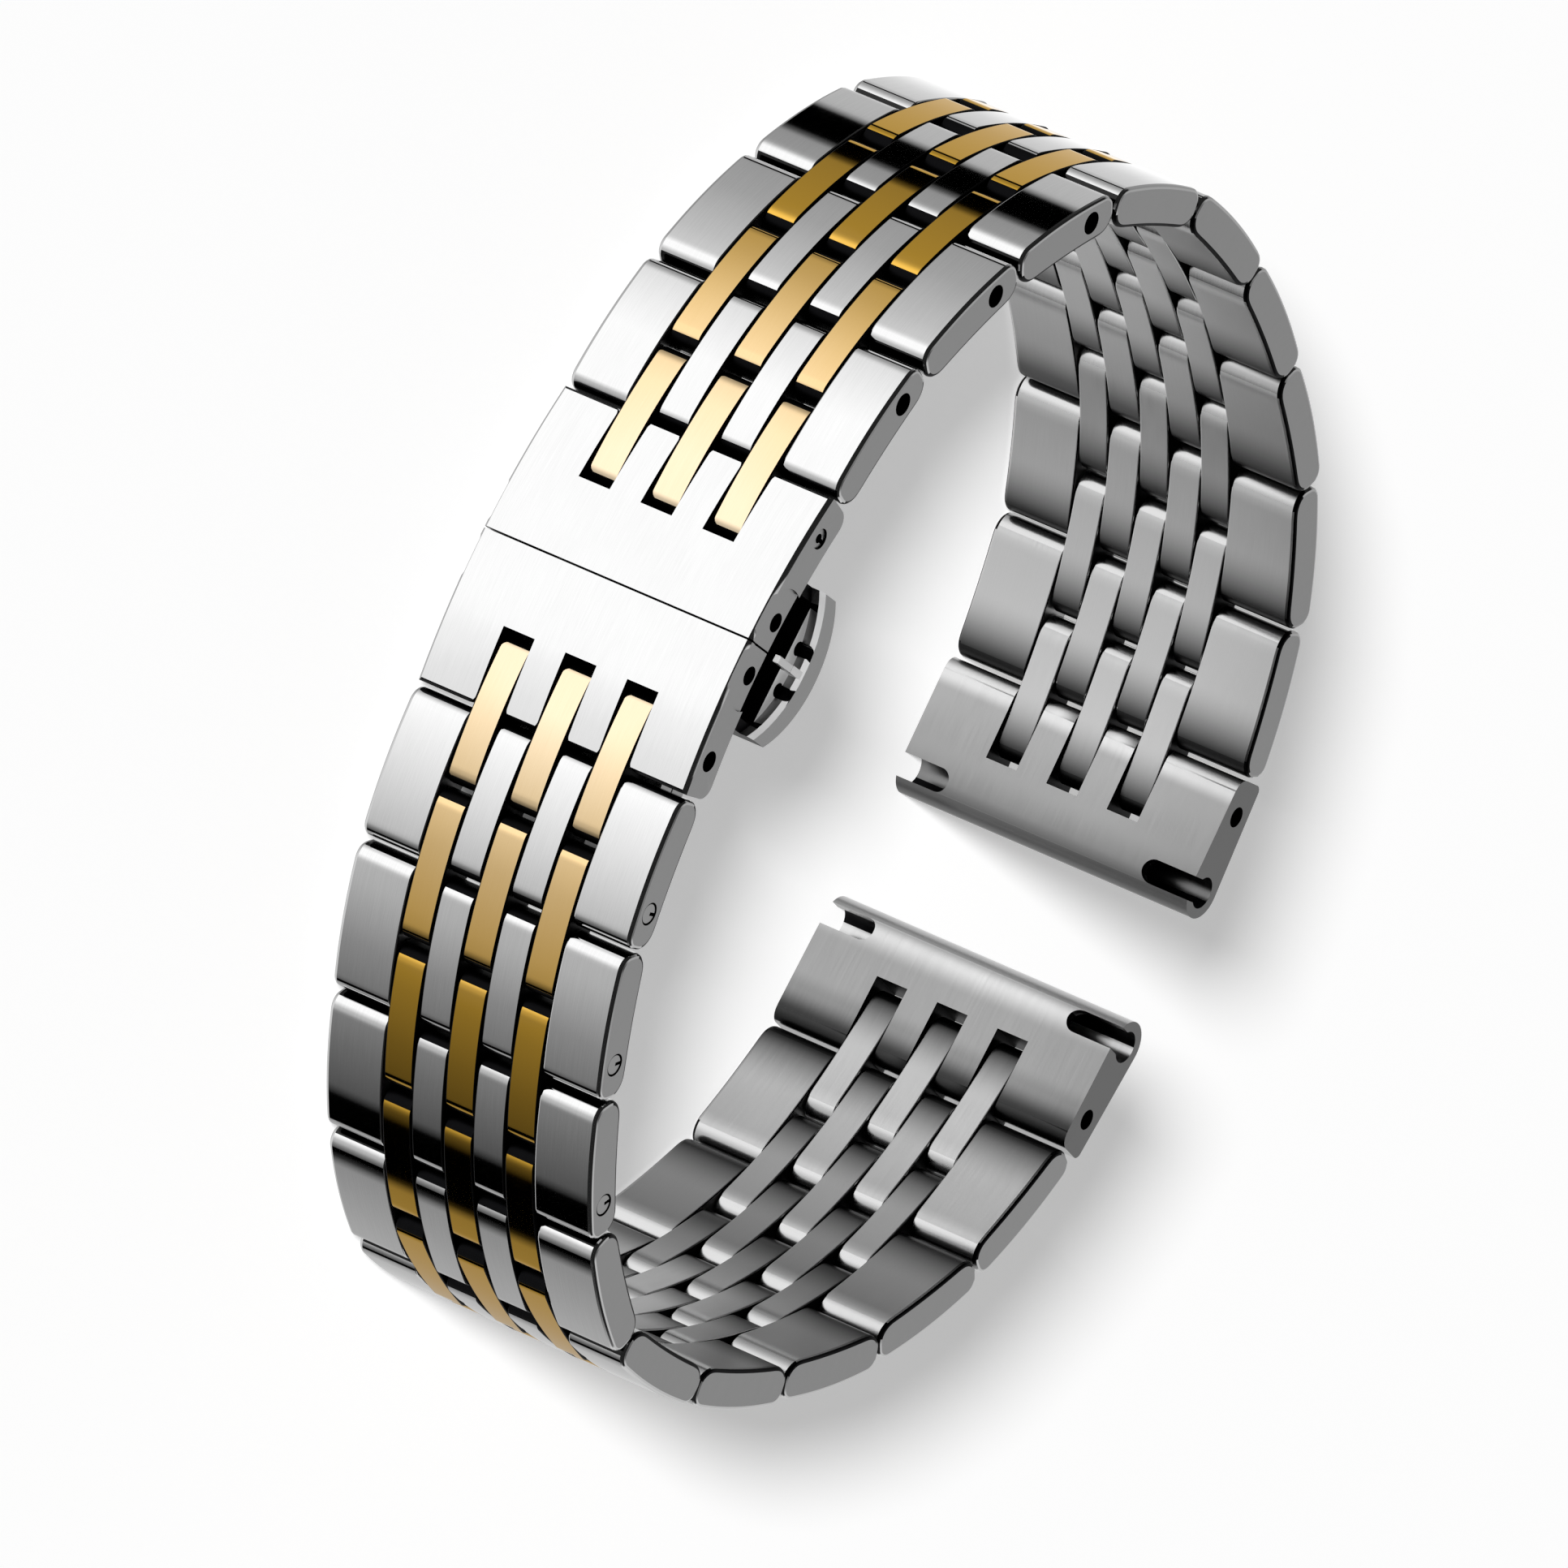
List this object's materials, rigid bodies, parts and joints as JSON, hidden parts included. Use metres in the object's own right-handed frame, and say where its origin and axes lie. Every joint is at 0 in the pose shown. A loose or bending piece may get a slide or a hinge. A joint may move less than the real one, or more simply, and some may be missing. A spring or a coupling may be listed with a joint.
{
  "type": "two-tone watch bracelet with butterfly clasp",
  "caption": "Two-tone steel watch bracelet curled shut: interlaced wide, narrow and gold links on cross pins, tapering to a push-button butterfly clasp.",
  "frame": {"origin": "under the middle of the curled bracelet's bounding box, on the plane its side edge stands on", "axes": "+Z across the bracelet's width and along every pin, +X along the clasp, -Y from the loop's middle out through the clasp"},
  "size_m": [0.0718, 0.0587, 0.02],
  "materials": {
    "brushed_links": "fine lengthwise brushing, polished end rounds",
    "gold_links": "gold-coloured, fine lengthwise brushing",
    "clasp_steel": "satin",
    "polished_buttons": "polished",
    "spring_steel": "plain"
  },
  "bodies": {
    "clasp": {"clasp_base": "clasp_steel", "base_pins": "clasp_steel", "spring_left": "spring_steel", "spring_right": "spring_steel"},
    "button_left": {"button_left": "polished_buttons"},
    "button_right": {"button_right": "polished_buttons"},
    "blade_a": {"blade_a": "clasp_steel"},
    "head_a": {"head_a": "brushed_links"},
    "gold_a1": {"gold_a1": "gold_links"},
    "row_a1": {"row_a1": "brushed_links"},
    "gold_a2": {"gold_a2": "gold_links"},
    "row_a2": {"row_a2": "brushed_links"},
    "gold_a3": {"gold_a3": "gold_links"},
    "row_a3": {"row_a3": "brushed_links"},
    "gold_a4": {"gold_a4": "gold_links"},
    "row_a4": {"row_a4": "brushed_links"},
    "gold_a5": {"gold_a5": "gold_links"},
    "row_a5": {"row_a5": "brushed_links"},
    "gold_a6": {"gold_a6": "gold_links"},
    "row_a6": {"row_a6": "brushed_links"},
    "gold_a7": {"gold_a7": "gold_links"},
    "row_a7": {"row_a7": "brushed_links"},
    "gold_a8": {"gold_a8": "gold_links"},
    "row_a8": {"row_a8": "brushed_links"},
    "gold_a9": {"gold_a9": "gold_links"},
    "row_a9": {"row_a9": "brushed_links"},
    "gold_a10": {"gold_a10": "gold_links"},
    "lug_end_a": {"lug_end_a": "brushed_links"},
    "blade_b": {"blade_b": "clasp_steel"},
    "head_b": {"head_b": "brushed_links"},
    "gold_b1": {"gold_b1": "gold_links"},
    "row_b1": {"row_b1": "brushed_links"},
    "gold_b2": {"gold_b2": "gold_links"},
    "row_b2": {"row_b2": "brushed_links"},
    "gold_b3": {"gold_b3": "gold_links"},
    "row_b3": {"row_b3": "brushed_links"},
    "gold_b4": {"gold_b4": "gold_links"},
    "row_b4": {"row_b4": "brushed_links"},
    "gold_b5": {"gold_b5": "gold_links"},
    "row_b5": {"row_b5": "brushed_links"},
    "gold_b6": {"gold_b6": "gold_links"},
    "row_b6": {"row_b6": "brushed_links"},
    "gold_b7": {"gold_b7": "gold_links"},
    "row_b7": {"row_b7": "brushed_links"},
    "gold_b8": {"gold_b8": "gold_links"},
    "row_b8": {"row_b8": "brushed_links"},
    "gold_b9": {"gold_b9": "gold_links"},
    "row_b9": {"row_b9": "brushed_links"},
    "gold_b10": {"gold_b10": "gold_links"},
    "lug_end_b": {"lug_end_b": "brushed_links"}
  },
  "joints": [
    {"name": "base_a", "type": "hinge", "parent": "clasp", "child": "blade_a", "pos_m": [-0.01525, -0.02141, 0.01], "axis": [0, 0, -1], "range_deg": [0, 150]},
    {"name": "fold_a", "type": "hinge", "parent": "blade_a", "child": "head_a", "pos_m": [-0.00502, -0.02702, 0.01], "axis": [0, 0, -1], "range_deg": [-150, 0]},
    {"name": "pin_a1", "type": "hinge", "parent": "head_a", "child": "gold_a1", "pos_m": [-0.01009, -0.02645, 0.01], "axis": [0, 0, -1], "range_deg": [-3.5, 6]},
    {"name": "pin_a2", "type": "hinge", "parent": "gold_a1", "child": "row_a1", "pos_m": [-0.01435, -0.02534, 0.01], "axis": [0, 0, 1], "range_deg": [-6, 9.5]},
    {"name": "pin_a3", "type": "hinge", "parent": "row_a1", "child": "gold_a2", "pos_m": [-0.01851, -0.02391, 0.01], "axis": [0, 0, -1], "range_deg": [-14, 6.5]},
    {"name": "pin_a4", "type": "hinge", "parent": "gold_a2", "child": "row_a2", "pos_m": [-0.02239, -0.02185, 0.01], "axis": [0, 0, 1], "range_deg": [-13, 14]},
    {"name": "pin_a5", "type": "hinge", "parent": "row_a2", "child": "gold_a3", "pos_m": [-0.02591, -0.0192, 0.01], "axis": [0, 0, -1], "range_deg": [-13, 14]},
    {"name": "pin_a6", "type": "hinge", "parent": "gold_a3", "child": "row_a3", "pos_m": [-0.02903, -0.0161, 0.01], "axis": [0, 0, 1], "range_deg": [-14, 13]},
    {"name": "pin_a7", "type": "hinge", "parent": "row_a3", "child": "gold_a4", "pos_m": [-0.03171, -0.01261, 0.01], "axis": [0, 0, -1], "range_deg": [-17, 10]},
    {"name": "pin_a8", "type": "hinge", "parent": "gold_a4", "child": "row_a4", "pos_m": [-0.03359, -0.00863, 0.01], "axis": [0, 0, 1], "range_deg": [-10, 17]},
    {"name": "pin_a9", "type": "hinge", "parent": "row_a4", "child": "gold_a5", "pos_m": [-0.03458, -0.00434, 0.01], "axis": [0, 0, -1], "range_deg": [-18, 9]},
    {"name": "pin_a10", "type": "hinge", "parent": "gold_a5", "child": "row_a5", "pos_m": [-0.03458, 0.00006, 0.01], "axis": [0, 0, 1], "range_deg": [-9, 18]},
    {"name": "pin_a11", "type": "hinge", "parent": "row_a5", "child": "gold_a6", "pos_m": [-0.03359, 0.00434, 0.01], "axis": [0, 0, -1], "range_deg": [-12, 15]},
    {"name": "pin_a12", "type": "hinge", "parent": "gold_a6", "child": "row_a6", "pos_m": [-0.0321, 0.00849, 0.01], "axis": [0, 0, 1], "range_deg": [-15, 12]},
    {"name": "pin_a13", "type": "hinge", "parent": "row_a6", "child": "gold_a7", "pos_m": [-0.03014, 0.01242, 0.01], "axis": [0, 0, -1], "range_deg": [-10, 16]},
    {"name": "pin_a14", "type": "hinge", "parent": "gold_a7", "child": "row_a7", "pos_m": [-0.02782, 0.01616, 0.01], "axis": [0, 0, 1], "range_deg": [-16, 10]},
    {"name": "pin_a15", "type": "hinge", "parent": "row_a7", "child": "gold_a8", "pos_m": [-0.02517, 0.01968, 0.01], "axis": [0, 0, -1], "range_deg": [-15, 12]},
    {"name": "pin_a16", "type": "hinge", "parent": "gold_a8", "child": "row_a8", "pos_m": [-0.02196, 0.02268, 0.01], "axis": [0, 0, 1], "range_deg": [-12, 15]},
    {"name": "pin_a17", "type": "hinge", "parent": "row_a8", "child": "gold_a9", "pos_m": [-0.01827, 0.02508, 0.01], "axis": [0, 0, -1], "range_deg": [-16, 11]},
    {"name": "pin_a18", "type": "hinge", "parent": "gold_a9", "child": "row_a9", "pos_m": [-0.01419, 0.02672, 0.01], "axis": [0, 0, 1], "range_deg": [-11, 16]},
    {"name": "pin_a19", "type": "hinge", "parent": "row_a9", "child": "gold_a10", "pos_m": [-0.00987, 0.02756, 0.01], "axis": [0, 0, -1], "range_deg": [-10.5, 16]},
    {"name": "pin_a20", "type": "hinge", "parent": "gold_a10", "child": "lug_end_a", "pos_m": [-0.00549, 0.02799, 0.01], "axis": [0, 0, 1], "range_deg": [-16, 10.5]},
    {"name": "base_b", "type": "hinge", "parent": "clasp", "child": "blade_b", "pos_m": [0.00939, -0.02422, 0.01], "axis": [0, 0, 1], "range_deg": [0, 150]},
    {"name": "fold_b", "type": "hinge", "parent": "blade_b", "child": "head_b", "pos_m": [-0.00184, -0.02738, 0.01], "axis": [0, 0, 1], "range_deg": [-150, 0]},
    {"name": "pin_b1", "type": "hinge", "parent": "head_b", "child": "gold_b1", "pos_m": [0.00322, -0.02796, 0.01], "axis": [0, 0, 1], "range_deg": [-3.5, 6]},
    {"name": "pin_b2", "type": "hinge", "parent": "gold_b1", "child": "row_b1", "pos_m": [0.00762, -0.02785, 0.01], "axis": [0, 0, -1], "range_deg": [-6, 9.5]},
    {"name": "pin_b3", "type": "hinge", "parent": "row_b1", "child": "gold_b2", "pos_m": [0.012, -0.02739, 0.01], "axis": [0, 0, 1], "range_deg": [-15, 6.5]},
    {"name": "pin_b4", "type": "hinge", "parent": "gold_b2", "child": "row_b2", "pos_m": [0.01623, -0.02619, 0.01], "axis": [0, 0, -1], "range_deg": [-12, 15]},
    {"name": "pin_b5", "type": "hinge", "parent": "row_b2", "child": "gold_b3", "pos_m": [0.02021, -0.0243, 0.01], "axis": [0, 0, 1], "range_deg": [-11, 16]},
    {"name": "pin_b6", "type": "hinge", "parent": "gold_b3", "child": "row_b3", "pos_m": [0.02395, -0.02198, 0.01], "axis": [0, 0, -1], "range_deg": [-16, 11]},
    {"name": "pin_b7", "type": "hinge", "parent": "row_b3", "child": "gold_b4", "pos_m": [0.02741, -0.01928, 0.01], "axis": [0, 0, 1], "range_deg": [-14, 13]},
    {"name": "pin_b8", "type": "hinge", "parent": "gold_b4", "child": "row_b4", "pos_m": [0.03041, -0.01606, 0.01], "axis": [0, 0, -1], "range_deg": [-13, 14]},
    {"name": "pin_b9", "type": "hinge", "parent": "row_b4", "child": "gold_b5", "pos_m": [0.03288, -0.01241, 0.01], "axis": [0, 0, 1], "range_deg": [-19, 8]},
    {"name": "pin_b10", "type": "hinge", "parent": "gold_b5", "child": "row_b5", "pos_m": [0.03436, -0.00827, 0.01], "axis": [0, 0, -1], "range_deg": [-8, 19]},
    {"name": "pin_b11", "type": "hinge", "parent": "row_b5", "child": "gold_b6", "pos_m": [0.03478, -0.00389, 0.01], "axis": [0, 0, 1], "range_deg": [-14, 13]},
    {"name": "pin_b12", "type": "hinge", "parent": "gold_b6", "child": "row_b6", "pos_m": [0.03452, 0.0005, 0.01], "axis": [0, 0, -1], "range_deg": [-13, 14]},
    {"name": "pin_b13", "type": "hinge", "parent": "row_b6", "child": "gold_b7", "pos_m": [0.03356, 0.0048, 0.01], "axis": [0, 0, 1], "range_deg": [-11, 16]},
    {"name": "pin_b14", "type": "hinge", "parent": "gold_b7", "child": "row_b7", "pos_m": [0.03215, 0.00897, 0.01], "axis": [0, 0, -1], "range_deg": [-16, 11]},
    {"name": "pin_b15", "type": "hinge", "parent": "row_b7", "child": "gold_b8", "pos_m": [0.03029, 0.01295, 0.01], "axis": [0, 0, 1], "range_deg": [-14, 13]},
    {"name": "pin_b16", "type": "hinge", "parent": "gold_b8", "child": "row_b8", "pos_m": [0.02781, 0.01659, 0.01], "axis": [0, 0, -1], "range_deg": [-13, 14]},
    {"name": "pin_b17", "type": "hinge", "parent": "row_b8", "child": "gold_b9", "pos_m": [0.02478, 0.01978, 0.01], "axis": [0, 0, 1], "range_deg": [-15, 12]},
    {"name": "pin_b18", "type": "hinge", "parent": "gold_b9", "child": "row_b9", "pos_m": [0.02126, 0.02241, 0.01], "axis": [0, 0, -1], "range_deg": [-12, 15]},
    {"name": "pin_b19", "type": "hinge", "parent": "row_b9", "child": "gold_b10", "pos_m": [0.01734, 0.02441, 0.01], "axis": [0, 0, 1], "range_deg": [-12.5, 14.5]},
    {"name": "pin_b20", "type": "hinge", "parent": "gold_b10", "child": "lug_end_b", "pos_m": [0.01319, 0.02588, 0.01], "axis": [0, 0, -1], "range_deg": [-14.5, 12.5]},
    {"name": "press_right", "type": "slide", "parent": "clasp", "child": "button_right", "axis": [0, 0, -1], "range_m": [0, 0.0006], "stiffness_N_per_m": 800, "deforming": ["spring_right"]},
    {"name": "press_left", "type": "slide", "parent": "clasp", "child": "button_left", "axis": [0, 0, 1], "range_m": [0, 0.0006], "stiffness_N_per_m": 800, "deforming": ["spring_left"]}
  ],
  "couplings": [
    {"joint": "fold_a", "follows": "base_a", "ratio": -1},
    {"joint": "fold_b", "follows": "base_b", "ratio": -1}
  ]
}
